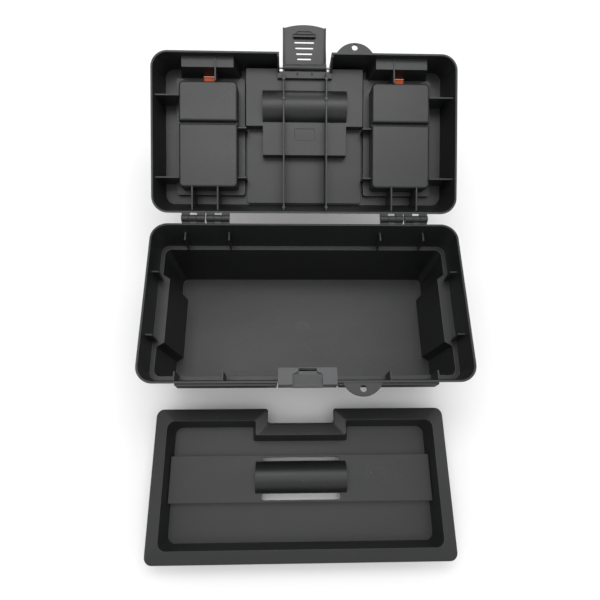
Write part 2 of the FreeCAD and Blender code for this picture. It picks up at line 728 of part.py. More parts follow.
for side, tag in SIDES:
    rib_to_back("long_rib_" + tag, side * s.long_rib_x, niche_back - 1, rib_z)
    rib_to_back("back_rib_near_" + tag, side * (s.bin_x - 13), bin_back - 1, rib_z)
    rib_to_back("back_rib_far_" + tag, side * (s.bin_x + 21.5), bin_back - 1, rib_z)
    rib_along_y("scoop_rib_" + tag, side * (s.bin_x - 10.5), 3 - half_d, bin_front + 1,
                scoop_z - 1.5)
wall_foot = half_w - s.wall / 2 - s.roof_inset_x * 8 / s.lid_height
wall_head = roof_x - s.wall / 2
for name, y in (("end_ribs_front", -52), ("end_ribs_back", 58)):
    rib = [(s.bin_x + s.bin_half - 1, rim_z + 8), (wall_foot, rim_z + 8),
           (wall_head, top_z - 1), (s.bin_x + s.bin_half - 1, top_z - 1)]
    extrude(lid, name, outline(lid, name + "_side", "XZ", -Size.of(y) - s.rib_thick / 2,
                               *both_sides(rib)), s.rib_thick)
for name, y in (("tie_ribs_front", -13), ("tie_ribs_back", 55)):
    rib = box(s.panel_half - 1, s.bin_x - s.bin_half + 1, rim_z + 20, top_z - 1)
    extrude(lid, name, outline(lid, name + "_side", "XZ", -Size.of(y) - s.rib_thick / 2,
                               *both_sides(rib)), s.rib_thick)
extrude(lid, "rib_bosses",
        circles(lid, "boss_plan", "XY", rib_z - 0.4,
                *[(side * s.long_rib_x, y, 2.2) for side in (-1, 1) for y in (-77, -50, 97)]),
        6)
niche_ribs = [box(x - 0.8, x + 0.8, niche_back - 9, niche_back) for x in (-10, 10)]
extrude(lid, "niche_ribs", outline(lid, "niche_rib_plan", "XY", niche_z - 2, *niche_ribs), 14)

side_width = (s.unit_width - s.tongue_width) / 2 - s.knuckle_side
heel_out = (s.hinge_out - s.turn_gap) / cosine(180 - s.lid_open)
for side, tag in SIDES:
    for number, start in enumerate(unit_starts, start=1):
        for place, low in (("in", start), ("out", start + s.unit_width - side_width)):
            x0, x1 = span(side, low, low + side_width)
            name = "knuckle_%s_%d_%s" % (tag, number, place)
            extrude(lid, name + "_web",
                    outline(lid, name + "_side", "YZ", x0,
                            [(half_d - 1.5, rim_z + 0.2), (axis_y, rim_z + 0.2),
                             (axis_y, axis_z), (axis_y + heel_out, axis_z),
                             (axis_y + heel_out, axis_z + 3),
                             (axis_y, axis_z + s.knuckle_radius),
                             (half_d - 4, axis_z + s.knuckle_radius + 2.5)]),
                    side_width)
            extrude(lid, name, circles(lid, name + "_eye", "YZ", x0,
                                       (axis_y, axis_z, s.knuckle_radius)), side_width)
extrude(lid, "hinge_bore", circles(lid, "hinge_bore_line", "YZ", -half_w,
                                   (axis_y, axis_z, s.pin_radius + s.run_gap)),
        s.box_width, cut=True, back=True)
extrude(lid, "ear_hole",
        circles(lid, "ear_hole_plan", "XY", rim_z - 1,
                (s.ear_x, -(half_d + s.ear_hole_out), s.ear_hole / 2)),
        s.ear_thick + 2, cut=True, back=True)


def sink(name, floor, *loops):
    """Cut everything above a floor level."""
    extrude(lid, name, outline(lid, name + "_plan", "XY", floor, *loops),
            top_z + 5 - floor, cut=True, back=True)


deck_inner = s.deck_half - s.wall
sink("cover_seats", deck_z + s.wall,
     *both_sides(box(s.bin_x - deck_inner, s.bin_x + deck_inner,
                     scoop_back - 1, deck_back - s.wall)))
split_half = s.groove_width / 2 + s.wall
bin_inner = -s.wall
sink("bin_rear_rooms", bin_z + s.wall,
     *bin_box(bin_inner, s.bin_split + split_half, bin_back - s.wall, 4))
sink("bin_front_rooms", bin_z + s.wall,
     *bin_box(bin_inner, bin_front + s.wall, s.bin_split - split_half, 4))
for side, tag in SIDES:
    def scoop_cut_plan(name, z, half, back):
        x0, x1 = span(side, s.bin_x - half, s.bin_x + half)
        return outline(lid, name + tag, "XY", z, box(x0, x1, -outside, back))

    loft(lid, "scoop_hollow_" + tag,
         scoop_cut_plan("scoop_floor_", scoop_z + s.wall, s.scoop_half - s.scoop_taper - s.wall,
                        scoop_back - s.wall),
         scoop_cut_plan("scoop_mouth_", top_z, s.scoop_half + s.scoop_taper - s.wall,
                        scoop_back + s.scoop_taper - s.wall), cut=True)
sink("panel_recess", panel_z + s.wall,
     box(s.wall - s.panel_half, s.panel_half - s.wall, panel_front + s.wall,
         panel_back - s.wall, 3))
sink("well_recess", well_z + s.wall, well_plan(s.wall))
trough_in = new_sketch(lid, "trough_inside", "YZ", s.wall - s.well_half)
add_segment(trough_in, s.trough_y, well_z + s.wall + 0.5, s.trough_half - s.wall * 0.8,
            -(s.trough_drop + 0.5))
extrude(lid, "trough_hollow", trough_in, 2 * (s.well_half - s.wall), cut=True, back=True)
extrude(lid, "latch_opening",
        outline(lid, "latch_opening_plan", "XY", rim_z - 1,
                box(-s.niche_half, s.niche_half, -outside, niche_back - 4)),
        s.lid_height + 5, cut=True, back=True)
clip_front, clip_back = deck_front - 2, deck_front - 2 + s.clip_thick
slot_gap = 0.7
extrude(lid, "clip_slots",
        outline(lid, "clip_slot_plan", "XY", deck_z - s.clip_below - 1,
                *both_sides(box(s.bin_x - s.clip_half - slot_gap, s.bin_x + s.clip_half + slot_gap,
                                scoop_back - 6, clip_back + slot_gap))),
        s.clip_below + s.wall + 12, cut=True, back=True)
latch_z = top_z - s.latch_down
handle_z = top_z - s.handle_down
cover_z = top_z - s.cover_pivot_down
cover_y = deck_back - s.wall - s.cover_pivot_in
extrude(lid, "latch_pin_seat", circles(lid, "latch_pin_line", "YZ", -(s.niche_half + s.wall + 1),
                                       (latch_y, latch_z, s.pin_radius)),
        2 * (s.niche_half + s.wall + 1), cut=True, back=True)
stub_radius = s.pin_radius + 1.2
extrude(lid, "handle_bores", circles(lid, "handle_bore_line", "YZ", -(s.well_half + 1),
                                     (s.handle_y, handle_z, stub_radius + s.run_gap)),
        2 * (s.well_half + 1), cut=True, back=True)
for side, tag in SIDES:
    x0, x1 = span(side, s.bin_x - s.deck_half - 0.5, s.bin_x + s.deck_half + 0.5)
    extrude(lid, "cover_bores_" + tag,
            circles(lid, "cover_bore_line_" + tag, "YZ", x0,
                    (cover_y, cover_z, s.pin_radius + s.run_gap)), x1 - x0, cut=True, back=True)
extrude(lid, "label_field",
        outline(lid, "label_plan", "XY", well_z, box(-14, 14, -14.5, 1.5, 2)),
        0.5, cut=True, back=True)

# ---------------------------------------------------------------- latch flap

flap_front = -(half_d + s.flap_out)
flap_back = flap_front + s.flap_thick
flap_low = rim_z - s.flap_drop
flap_top = top_z - s.flap_down
flap_corner = flap_low + 4
flap = new_body("latch_flap")
extrude(flap, "flap_plate",
        outline(flap, "flap_front_view", "XZ", -flap_back,
                box(-s.flap_half, s.flap_half, flap_corner, flap_top)),
        s.flap_thick)
tongue_end = new_sketch(flap, "flap_end_line", "XZ", -flap_back)
add_segment(tongue_end, 0, flap_corner, s.flap_half - 3, flap_low - flap_corner)
extrude(flap, "flap_end", tongue_end, s.flap_thick)
extrude(flap, "flap_bend",
        outline(flap, "bend_side", "YZ", -s.flap_half,
                box(flap_back - 1, latch_y, flap_top - s.flap_thick,
                    flap_top)), 2 * s.flap_half)
extrude(flap, "flap_barrel", circles(flap, "barrel_line", "YZ", -s.flap_half,
                                     (latch_y, latch_z, s.barrel_radius)), 2 * s.flap_half)
flange = [(flap_back - 0.5, flap_top - 1), (-(half_d - 5), flap_top - 1),
          (-(half_d - 5), rim_z + 24), (-(half_d + 3), rim_z + 3),
          (-(half_d + 3), flap_corner + 1), (flap_back - 0.5, flap_corner + 1)]
for name, x in (("flange_left", -s.flap_half), ("flange_right", s.flap_half - 2)):
    extrude(flap, name, outline(flap, name + "_side", "YZ", x, flange), 2)
catch_line = hook_low - s.hook_gap
extrude(flap, "flap_hook",
        outline(flap, "flap_hook_side", "YZ", 2 - s.hook_half,
                [(flap_back - 0.5, catch_line - 6), (hook_front + 2, catch_line - 2),
                 (hook_front + 2, catch_line), (flap_back - 0.5, catch_line)]),
        2 * s.hook_half - 4)
louvres = []
for rise, half in ((23, 14), (30.5, 12.8), (38, 11.4), (45, 10)):
    low = flap_low + rise - 1.3
    louvres.append(box(-half, half, low, low + 2.6, 1.2))
extrude(flap, "louvres", outline(flap, "louvre_view", "XZ", -flap_back - 1, *louvres),
        s.flap_thick + 2, cut=True, back=True)
extrude(flap, "thumb_recess",
        outline(flap, "thumb_view", "XZ", -flap_back,
                [(-9, flap_low + 8.5), (9, flap_low + 8.5), (14, flap_low + 13),
                 (14, flap_low + 19), (-14, flap_low + 19), (-14, flap_low + 13)]),
        1.2, cut=True, back=True)
extrude(flap, "flap_bore", circles(flap, "flap_bore_line", "YZ", -s.flap_half - 1,
                                   (latch_y, latch_z, s.pin_radius + s.run_gap)),
        2 * s.flap_half + 2, cut=True, back=True)

# ---------------------------------------------------------------- handle

handle = new_body("handle")
grip_z = handle_z + s.handle_arm
arm_inner = s.handle_half - s.arm_thick
extrude(handle, "grip", circles(handle, "grip_line", "YZ", -s.handle_half,
                                (s.handle_y, grip_z, s.grip_radius)), 2 * s.handle_half)
for side, tag in SIDES:
    x0, x1 = span(side, arm_inner, s.handle_half)
    extrude(handle, "arm_" + tag,
            outline(handle, "arm_side_" + tag, "YZ", x0,
                    box(s.handle_y - s.arm_radius, s.handle_y + s.arm_radius,
                        handle_z, grip_z)), s.arm_thick)
    extrude(handle, "arm_eye_" + tag,
            circles(handle, "arm_eye_line_" + tag, "YZ", x0,
                    (s.handle_y, handle_z, s.arm_radius)), s.arm_thick)
    x0, x1 = span(side, s.handle_half - 1, s.well_half)
    extrude(handle, "stub_" + tag, circles(handle, "stub_line_" + tag, "YZ", x0,
                                           (s.handle_y, handle_z, stub_radius)), x1 - x0)

# ---------------------------------------------------------------- organiser covers and clips

cover_top = top_z - s.cover_sunk
cover_half = deck_inner - s.cover_gap
cover_front = deck_front - 2.6
clip_low = deck_z - s.clip_below
clip_y = (clip_front + clip_back) / 2
clip_z = cover_top - s.cover_thick - 1.8
clip_stub = 1.2
covers, clips = [], []
for side, tag in SIDES:
    cover = new_body("organiser_cover_" + tag)
    x_mid = side * s.bin_x
    extrude(cover, "cover_plate",
            outline(cover, "cover_plan", "XY", cover_top - s.cover_thick,
                    box(x_mid - cover_half, x_mid + cover_half, cover_front,
                        cover_y + s.cover_tail)), s.cover_thick)
    skirt_low = deck_z + s.wall + s.turn_gap
    for name, x in (("skirt_a", x_mid - cover_half), ("skirt_b", x_mid + cover_half - 1.8)):
        extrude(cover, name,
                outline(cover, name + "_side", "YZ", x,
                        [(cover_front, cover_top - 1), (cover_front, skirt_low),
                         (cover_y - 4, skirt_low), (cover_y + 1.4, cover_z),
                         (cover_y + 1.4, cover_top - 1)]), 1.8)
    extrude(cover, "cover_stubs",
            circles(cover, "stub_line", "YZ", x_mid - s.deck_half,
                    (cover_y, cover_z, s.pin_radius)), s.deck_half - cover_half + 1)
    extrude(cover, "cover_stubs_far",
            circles(cover, "stub_line_far", "YZ", x_mid + cover_half - 1,
                    (cover_y, cover_z, s.pin_radius)), s.deck_half - cover_half + 1)
    extrude(cover, "clip_window",
            outline(cover, "window_plan", "XY", cover_top - 12,
                    box(x_mid - s.clip_half - slot_gap, x_mid + s.clip_half + slot_gap,
                        cover_front - 1, clip_back + slot_gap)), 20, cut=True, back=True)
    lug_inner = s.clip_half + slot_gap
    extrude(cover, "clip_lugs",
            outline(cover, "lug_plan", "XY", clip_z - 2,
                    box(x_mid - lug_inner - 2, x_mid - lug_inner, clip_y - 2.2, clip_y + 2.2),
                    box(x_mid + lug_inner, x_mid + lug_inner + 2, clip_y - 2.2, clip_y + 2.2)),
            cover_top - s.cover_thick - clip_z + 3)
    extrude(cover, "clip_bore",
            circles(cover, "clip_bore_line", "YZ", x_mid - lug_inner - 3,
                    (clip_y, clip_z, clip_stub + s.run_gap)), 2 * lug_inner + 6,
            cut=True, back=True)
    covers.append(cover)

    clip = new_body("organiser_clip_" + tag)
    extrude(clip, "clip_leg",
            outline(clip, "clip_side", "YZ", x_mid - s.clip_half,
                    [(clip_front + 1.2, clip_low), (clip_back + 1.6, clip_low),
                     (clip_back + 1.6, deck_z - s.turn_gap - 0.6),
                     (clip_back, deck_z - s.turn_gap), (clip_back, clip_z + 1),
                     (clip_back - 1.6, cover_top - 1),
                     (clip_front - 1, cover_top), (clip_front - 1, clip_z),
                     (clip_front, clip_low + 6)]), 2 * s.clip_half)
    extrude(clip, "clip_stubs",
            circles(clip, "clip_stub_line", "YZ", x_mid - lug_inner - 2,
                    (clip_y, clip_z, clip_stub)), 2 * lug_inner + 4)
    clips.append(clip)

# ---------------------------------------------------------------- pins

hinge_rods = []
for side, tag in SIDES:
    for number, start in enumerate(unit_starts, start=1):
        x0, x1 = span(side, start + 0.4, start + s.unit_width - 0.4)
        hinge_rods.append(bar("hinge_rod_%s_%d" % (tag, number), x0, x1, axis_y, axis_z,
                              s.pin_radius))
pins = group("hinge_pins", hinge_rods)
latch_pin = bar("latch_pin", -(s.niche_half + s.wall), s.niche_half + s.wall, latch_y, latch_z,
                s.pin_radius)

# ---------------------------------------------------------------- tray

tray_x = collar_x - s.tray_side_gap
tray_y = collar_y - s.tray_gap
tray = new_body("tray")


def tray_outline(name, z, inset, radius):
    """Outline with the notch in its +Y side; inset shrinks the plan and widens the notch."""
    x, front, back = tray_x - inset, inset - tray_y, tray_y - inset
    notch, deep = s.notch_half + inset, tray_y - s.notch_deep - inset
    corners = [(-x, front, radius), (x, front, radius), (x, back, radius),
               (notch, back, radius / 3), (notch, deep, radius / 3), (-notch, deep, radius / 3),
               (-notch, back, radius / 3), (-x, back, radius)]
    return outline(tray, name, "XY", z, corners)


brim_low = s.tray_height - s.tray_rim_fall
skin = s.tray_wall
loft(tray, "brim", tray_outline("brim_edge", brim_low, Size.of(0), s.tray_radius),
     tray_outline("brim_inner", s.tray_height, s.tray_rim, s.tray_radius))
loft(tray, "brim_hollow",
     tray_outline("brim_under_edge", brim_low, skin, s.tray_radius),
     tray_outline("brim_under", s.tray_height - skin, s.tray_rim - 1, s.tray_radius), cut=True)
loft(tray, "tub", tray_outline("tub_foot", 0, s.tray_rim + s.tray_draft - skin, s.tray_radius),
     tray_outline("tub_head", s.tray_height - 1, s.tray_rim - skin + 0.2, s.tray_radius))
loft(tray, "tub_hollow", tray_outline("tub_floor", skin, s.tray_rim + s.tray_draft, s.tray_radius),
     tray_outline("tub_mouth", s.tray_height, s.tray_rim, s.tray_radius), cut=True)
ridge_half = tray_x - s.tray_rim - s.tray_draft + skin / 2
ridge_top = s.ridge_rise + skin
extrude(tray, "ridge", outline(tray, "ridge_plan", "XY", 0,
                               box(-ridge_half, ridge_half, s.ridge_front, s.ridge_back)),
        ridge_top)
extrude(tray, "ridge_hollow",
        outline(tray, "ridge_core", "XY", 0,
                box(skin - ridge_half, ridge_half - skin, s.ridge_front + skin,
                    s.ridge_back - skin)), s.ridge_rise, cut=True, back=True)
grip = new_sketch(tray, "grip_side", "YZ", -s.tray_grip_half)
add_segment(grip, s.tray_grip_y, ridge_top - 0.5, s.tray_grip_width / 2, s.tray_grip_rise + 0.5)
extrude(tray, "grip", grip, 2 * s.tray_grip_half)
grip_in = new_sketch(tray, "grip_inside", "YZ", skin - s.tray_grip_half)
add_segment(grip_in, s.tray_grip_y, ridge_top - skin - 0.5, s.tray_grip_width / 2 - skin * 0.8,
            s.tray_grip_rise + 0.5)
extrude(tray, "grip_hollow", grip_in, 2 * (s.tray_grip_half - skin), cut=True, back=True)
slot_back = s.tray_grip_y + s.tray_grip_width / 2
slot_front = s.tray_grip_y - s.tray_grip_width / 2
extrude(tray, "finger_slots",
        outline(tray, "slot_plan", "XY", -1,
                box(-s.slot_half, s.slot_half, slot_back + 0.5, s.ridge_back - skin - 0.3, 1.5),
                box(-s.slot_half, s.slot_half, s.ridge_front + skin + 0.3, slot_front - 0.5, 3)),
        ridge_top + 2, cut=True, back=True)
tray_shift = -(half_d + s.tray_ahead + tray_y)
tray.Placement = FreeCAD.Placement(V(s.tray_aside.value, tray_shift.value, 0),
                                   FreeCAD.Rotation())
tray.setExpression("Placement.Base.x", s.tray_aside.text)
tray.setExpression("Placement.Base.y", tray_shift.text)

# ---------------------------------------------------------------- open pose and export

lid_turn = (s.lid_open, axis_y, axis_z)
for thing in [lid, handle] + covers + clips:
    swing(thing, [lid_turn])
swing(flap, [(s.flap_open, latch_y, latch_z), lid_turn])

# A pin is a cylinder already laid along X, so it only moves with the lid.
pin_y = ((latch_y - axis_y) * cosine(s.lid_open) + (latch_z - axis_z) * sine(s.lid_open)
         + axis_y)
pin_z = ((latch_z - axis_z) * cosine(s.lid_open) - (latch_y - axis_y) * sine(s.lid_open)
         + axis_z)
latch_pin.Placement.Base = V(-(s.niche_half + s.wall).value, pin_y.value, pin_z.value)
latch_pin.setExpression("Placement.Base.y", pin_y.text)
latch_pin.setExpression("Placement.Base.z", pin_z.text)

DOC.recompute()
for thing in DOC.Objects:
    if "Invalid" in thing.State or "Error" in thing.State:
        raise RuntimeError("%s is %s" % (thing.Label, thing.State))
os.makedirs("parts", exist_ok=True)
for thing in [base, catch, pins, lid, latch_pin, flap, handle] + covers + clips + [tray]:
    shape = thing.Shape
    if shape.isNull() or not shape.isValid() or not shape.Solids:
        raise RuntimeError("bad shape " + thing.Label)
    shape.exportStep("parts/%s.step" % thing.Label)
    print(thing.Label, len(shape.Solids), round(shape.Volume / 1000, 1), shape.BoundBox)
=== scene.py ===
import json
import math

import bmesh
import bpy
from bpy.props import FloatProperty, FloatVectorProperty, PointerProperty
from mathutils import Matrix, Vector


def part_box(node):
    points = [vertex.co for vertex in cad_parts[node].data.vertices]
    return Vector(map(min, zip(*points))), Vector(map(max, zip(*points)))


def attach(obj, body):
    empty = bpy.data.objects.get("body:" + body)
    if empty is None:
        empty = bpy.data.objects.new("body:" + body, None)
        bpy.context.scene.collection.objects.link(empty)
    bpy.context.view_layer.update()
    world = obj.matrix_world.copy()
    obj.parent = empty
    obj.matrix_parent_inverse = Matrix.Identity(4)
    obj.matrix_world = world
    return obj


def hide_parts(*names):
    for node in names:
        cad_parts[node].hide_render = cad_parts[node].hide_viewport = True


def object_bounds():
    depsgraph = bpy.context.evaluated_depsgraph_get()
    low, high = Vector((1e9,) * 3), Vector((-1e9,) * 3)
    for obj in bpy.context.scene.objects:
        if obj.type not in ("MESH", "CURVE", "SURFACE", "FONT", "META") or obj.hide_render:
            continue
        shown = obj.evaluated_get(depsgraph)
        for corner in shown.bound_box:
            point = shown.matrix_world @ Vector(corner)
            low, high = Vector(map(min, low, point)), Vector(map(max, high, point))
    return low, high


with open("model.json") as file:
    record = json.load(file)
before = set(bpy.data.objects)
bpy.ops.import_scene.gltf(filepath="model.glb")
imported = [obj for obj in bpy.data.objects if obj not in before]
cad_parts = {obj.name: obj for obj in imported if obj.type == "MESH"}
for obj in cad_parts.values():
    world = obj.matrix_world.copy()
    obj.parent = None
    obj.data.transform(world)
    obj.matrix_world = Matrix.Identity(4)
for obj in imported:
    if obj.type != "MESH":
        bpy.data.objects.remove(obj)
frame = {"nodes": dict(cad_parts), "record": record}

bl_info = {
    "name": "Toolbox with tray",
    "version": (1, 0, 0),
    "blender": (4, 5, 0),
    "location": "View3D > Sidebar > Toolbox",
    "description": "Finishes a lidded plastic toolbox and its lift-out tray around their frame",
    "category": "Add Mesh",
}

CAD_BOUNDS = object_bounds()
MM = 0.001
MERGE_DISTANCE = 0.002 * MM
FLAT_ANGLE = math.radians(0.4)
SHARP_ANGLE = math.radians(32)
AREA_WEIGHT = 100
EDGE_SEGMENTS = 2
GATE_STEPS = 64
PATTERN_SINK = 0.01 * MM
FLOOR_DROP = 0.2 * MM
FLOOR_HALF = 6.0
AIM_HEIGHT = 0.1
FILM_WIDTH = 36.0
CLIP_START = 0.05

# Waves per metre of the plastic's patterns; three numbers are for X, Y and Z.
CLOUD_WAVES = 7.0
FLOW_WAVES = (9.0, 46.0, 30.0)
GRAIN_WAVES = 1500.0
COARSE_WAVES = 420.0
SCRATCH_WAVES = (60.0, 1400.0, 900.0)
SPECK_WAVES = 900.0
DUSTY_WAVES = 30.0
# Waves per metre of the noise that breaks up the painted edge highlight.
EDGE_HIGHLIGHT_WAVES = 90.0
# How much each pattern darkens, lightens, roughens or raises the plastic.
CLOUD_DARK = 0.8
CLOUD_LIGHT = 1.25
# Painted edge highlight: the colour on edges is made up to this many times lighter, to stand in
# for light caught by the rounded edges.
EDGE_HIGHLIGHT_GAIN = 8.0
DUST = (0.16, 0.16, 0.155)
DUST_SHARE = 0.35
CLOUD_ROUGH = 0.10
FLOW_ROUGH = 0.08
COARSE_ROUGH = 0.06
SCRATCH_ROUGH = 0.10
EDGE_SMOOTH = 0.14
COARSE_RISE = 0.6
SCRATCH_DEPTH = 0.5
PLASTIC_ROUNDING = 0.9 * MM
PLASTIC_BUMP = 0.8
PLASTIC_IOR = 1.49
BODY_OF = {node: body for body, nodes in frame["record"]["behaviour"]["bodies"].items()
           for node in nodes}
OPENINGS = {row["name"]: [Vector(corner) for corner in row["box_m"]]
            for row in frame["record"]["physics"]["openings"]}


# ---------------------------------------------------------------- sizes and colours

def size(name, about, default, **more):
    """A length property in metres."""
    return FloatProperty(name=name, description=about, default=default, unit="LENGTH",
                         precision=5, **more)


def part_of(name, about, default):
    """A plain share from 0 to 1."""
    return FloatProperty(name=name, description=about, default=default, min=0, max=1,
                         subtype="FACTOR")


def paint(name, about, default):
    """A linear colour."""
    return FloatVectorProperty(name=name, description=about, default=default, size=3, min=0,
                               max=1, subtype="COLOR")


class ToolboxFinish(bpy.types.PropertyGroup):
    """Colours and surface values of the moulded plastics and the steel."""
    shell: paint("Shell", "Black plastic of the box, lid and covers", (0.010, 0.0105, 0.011))
    tray: paint("Tray", "Black plastic of the tray", (0.011, 0.0115, 0.012))
    fitting: paint("Fittings", "Dark grey plastic of latch and handle", (0.013, 0.0135, 0.0145))
    catch: paint("Catch", "Grey plastic of the catch", (0.045, 0.046, 0.048))
    clip: paint("Clips", "Orange plastic of the cover clips", (0.86, 0.115, 0.012))
    steel: paint("Steel", "Hinge and latch pins", (0.42, 0.42, 0.43))
    backdrop: paint("Backdrop", "Floor that the object stands on", (0.93, 0.93, 0.93))
    shell_rough: part_of("Shell roughness", "Roughness of the satin shell", 0.40)
    tray_rough: part_of("Tray roughness", "Roughness of the tray", 0.42)
    fitting_rough: part_of("Fitting roughness", "Roughness of latch and handle", 0.38)
    clip_rough: part_of("Clip roughness", "Roughness of the clips", 0.34)
    # Each of these five shares sets the strength of the painted edge highlight: colour on the
    # rounded edges is lightened to stand in for light they catch.
    shell_edge_highlight: part_of("Shell wear", "Rubbing on the shell's edges", 0.6)
    tray_edge_highlight: part_of("Tray wear", "Rubbing on the tray's edges", 0.4)
    fitting_edge_highlight: part_of("Fitting wear", "Rubbing on the latch's and handle's edges", 0.5)
    catch_edge_highlight: part_of("Catch wear", "Rubbing on the catch's edges", 0.3)
    clip_edge_highlight: part_of("Clip wear", "Rubbing on the clips' edges", 0.15)
    clip_grain: part_of("Clip grain", "Grain depth of the clips as a share of the shell's", 0.6)
    grain_depth: size("Grain depth", "Depth of the fine mould grain", 0.05 * MM)


class ToolboxDetail(bpy.types.PropertyGroup):
    """Sizes of the small moulded details."""
    edge: size("Edge", "Rounding on the moulded edges", 0.45 * MM)
    flap_edge: size("Flap edge", "Rounding on the latch flap's edges", 0.35 * MM)
    fine_edge: size("Fine edge", "Rounding on the catch, covers and clips", 0.3 * MM)
    pin_edge: size("Pin edge", "Rounding on the ends of the pins", 0.25 * MM)
    floor_thick: size("Floor", "Thickness of the box floor", 3 * MM)
    grain_pitch: size("Floor pattern pitch", "Spacing of the floor pattern", 2.6 * MM)
    grain_width: size("Floor pattern width", "Foot of one point of the pattern", 1.7 * MM)
    grain_rise: size("Floor pattern rise", "Height of one point of the pattern", 0.16 * MM)
    gate_radius: size("Gate dish", "Radius of the gate dish on the floor", 12.5 * MM)
    gate_rim: size("Gate rim", "Half width of the dish's low rim", 1.6 * MM)
    gate_rise: size("Gate rise", "Height of the dish's low rim", 0.18 * MM)
    gate_floor: size("Gate floor", "Height of the dish's floor at its rim", 0.03 * MM)
    gate_low: size("Gate low", "Lowest height of the dish's floor", 0.02 * MM)
    gate_middle: size("Gate middle", "Height of the dish's middle", 0.06 * MM)


class ToolboxView(bpy.types.PropertyGroup):
    """Camera and lights."""
    place: FloatVectorProperty(name="Camera", description="Camera place", size=3,
                               default=(-0.0262, -0.2150, 0.6962), subtype="XYZ", unit="LENGTH")
    pitch: FloatProperty(name="Pitch", description="Camera tilt from straight down",
                         default=math.radians(20.6), subtype="ANGLE")
    yaw: FloatProperty(name="Yaw", description="Camera turn to its right",
                       default=math.radians(1.7), subtype="ANGLE")
    lens: FloatProperty(name="Lens", description="Focal length in millimetres", default=28.8)
    sky: FloatProperty(name="Room light", description="Strength of the even room light",
                       default=0.75)
    box_power: FloatProperty(name="Softbox", description="Power of the overhead softbox",
                             default=18.0, unit="POWER")
    lid_power: FloatProperty(name="Lid light", description="Power of the small light over the lid",
                             default=4.5, unit="POWER")
    fill_power: FloatProperty(name="Fill", description="Power of each low side fill",
                              default=6.0, unit="POWER")


# ---------------------------------------------------------------- node trees

class Wire:
    """A node's output that adds Math nodes when it is used in an expression."""

    def __init__(self, nodes, socket):
        self.nodes = nodes
        self.socket = socket

    def maths(self, operation, *values):
        """One Math node on these values."""
        return self.nodes.add("ShaderNodeMath", {"operation": operation},
                              dict(enumerate(values)))

    def __add__(self, other):
        return self.maths("ADD", self, other)

    def __radd__(self, other):
        return self.maths("ADD", other, self)

    def __sub__(self, other):
        return self.maths("SUBTRACT", self, other)

    def __rsub__(self, other):
        return self.maths("SUBTRACT", other, self)

    def __mul__(self, other):
        return self.maths("MULTIPLY", self, other)

    def __rmul__(self, other):
        return self.maths("MULTIPLY", other, self)

    def __truediv__(self, other):
        return self.maths("DIVIDE", self, other)

    def ramp(self, low, high):
        """0 up to low, 1 from high, smooth between."""
        return self.nodes.add("ShaderNodeMapRange", {"interpolation_type": "SMOOTHSTEP"},
                              {"Value": self, "From Min": low, "From Max": high})


class Nodes:
    """Adds nodes to one tree."""

    def __init__(self, tree):
        self.tree = tree

    def add(self, kind, settings=None, inputs=None, output=0):
        """A node of this type; its settings are set first, then its sockets."""
        node = self.tree.nodes.new(kind)
        for key, value in (settings or {}).items():
            setattr(node, key, value)
        for key, value in (inputs or {}).items():
            if isinstance(value, Wire):
                self.tree.links.new(value.socket, node.inputs[key])
            else:
                node.inputs[key].default_value = value
        return Wire(self, node.outputs[output]) if node.outputs else None


class Finish(Nodes):
    """One material."""

    def __init__(self, name):
        self.material = bpy.data.materials.new(name)
        self.material.use_nodes = True
        super().__init__(self.material.node_tree)
        self.tree.nodes.clear()
        self.place = self.add("ShaderNodeTexCoord", output="Object")

    def noise(self, scale, detail=2.0, roughness=0.5, place=None):
        """Noise from 0 to 1; scale is in waves per metre."""
        return self.add("ShaderNodeTexNoise", {},
                        {"Vector": place or self.place, "Scale": scale, "Detail": detail,
                         "Roughness": roughness})

    def stretched(self, along):
        """The place, scaled by a different amount along each axis."""
        return self.add("ShaderNodeMapping", {}, {"Vector": self.place, "Scale": along})

    def blend(self, share, first, second):
        """From the first colour to the second."""
        return self.add("ShaderNodeMix", {"data_type": "RGBA"}, {0: share, 6: first, 7: second},
                        output=2)

    def rounded(self, radius):
        """Normal with edges rounded off to a radius."""
        return self.add("ShaderNodeBevel", {"samples": 4}, {"Radius": radius})

    def edges(self, rounded):
        """1 on a moulded edge and 0 on a face."""
        face = self.add("ShaderNodeNewGeometry", output="Normal")
        along = self.add("ShaderNodeVectorMath", {"operation": "DOT_PRODUCT"},
                         {0: rounded, 1: face}, output="Value")
        return (1 - along).ramp(0.01, 0.22)

    def bumped(self, height, depth, normal, strength):
        """A normal with this height added to it."""
        return self.add("ShaderNodeBump", {}, {"Height": height, "Distance": depth,
                                               "Strength": strength, "Normal": normal})

    def surface(self, **sockets):
        """The principled shader to the output; a socket's name has _ for a space."""
        named = {key.replace("_", " "): value for key, value in sockets.items()}
        shader = self.add("ShaderNodeBsdfPrincipled", {}, named)
        self.add("ShaderNodeOutputMaterial", {}, {"Surface": shader})
        return self.material


def rgba(colour, factor=1.0):
    """A colour with full alpha, made darker or lighter by a factor."""
    return tuple(min(1.0, c * factor) for c in colour) + (1.0,)


# ---------------------------------------------------------------- finishes

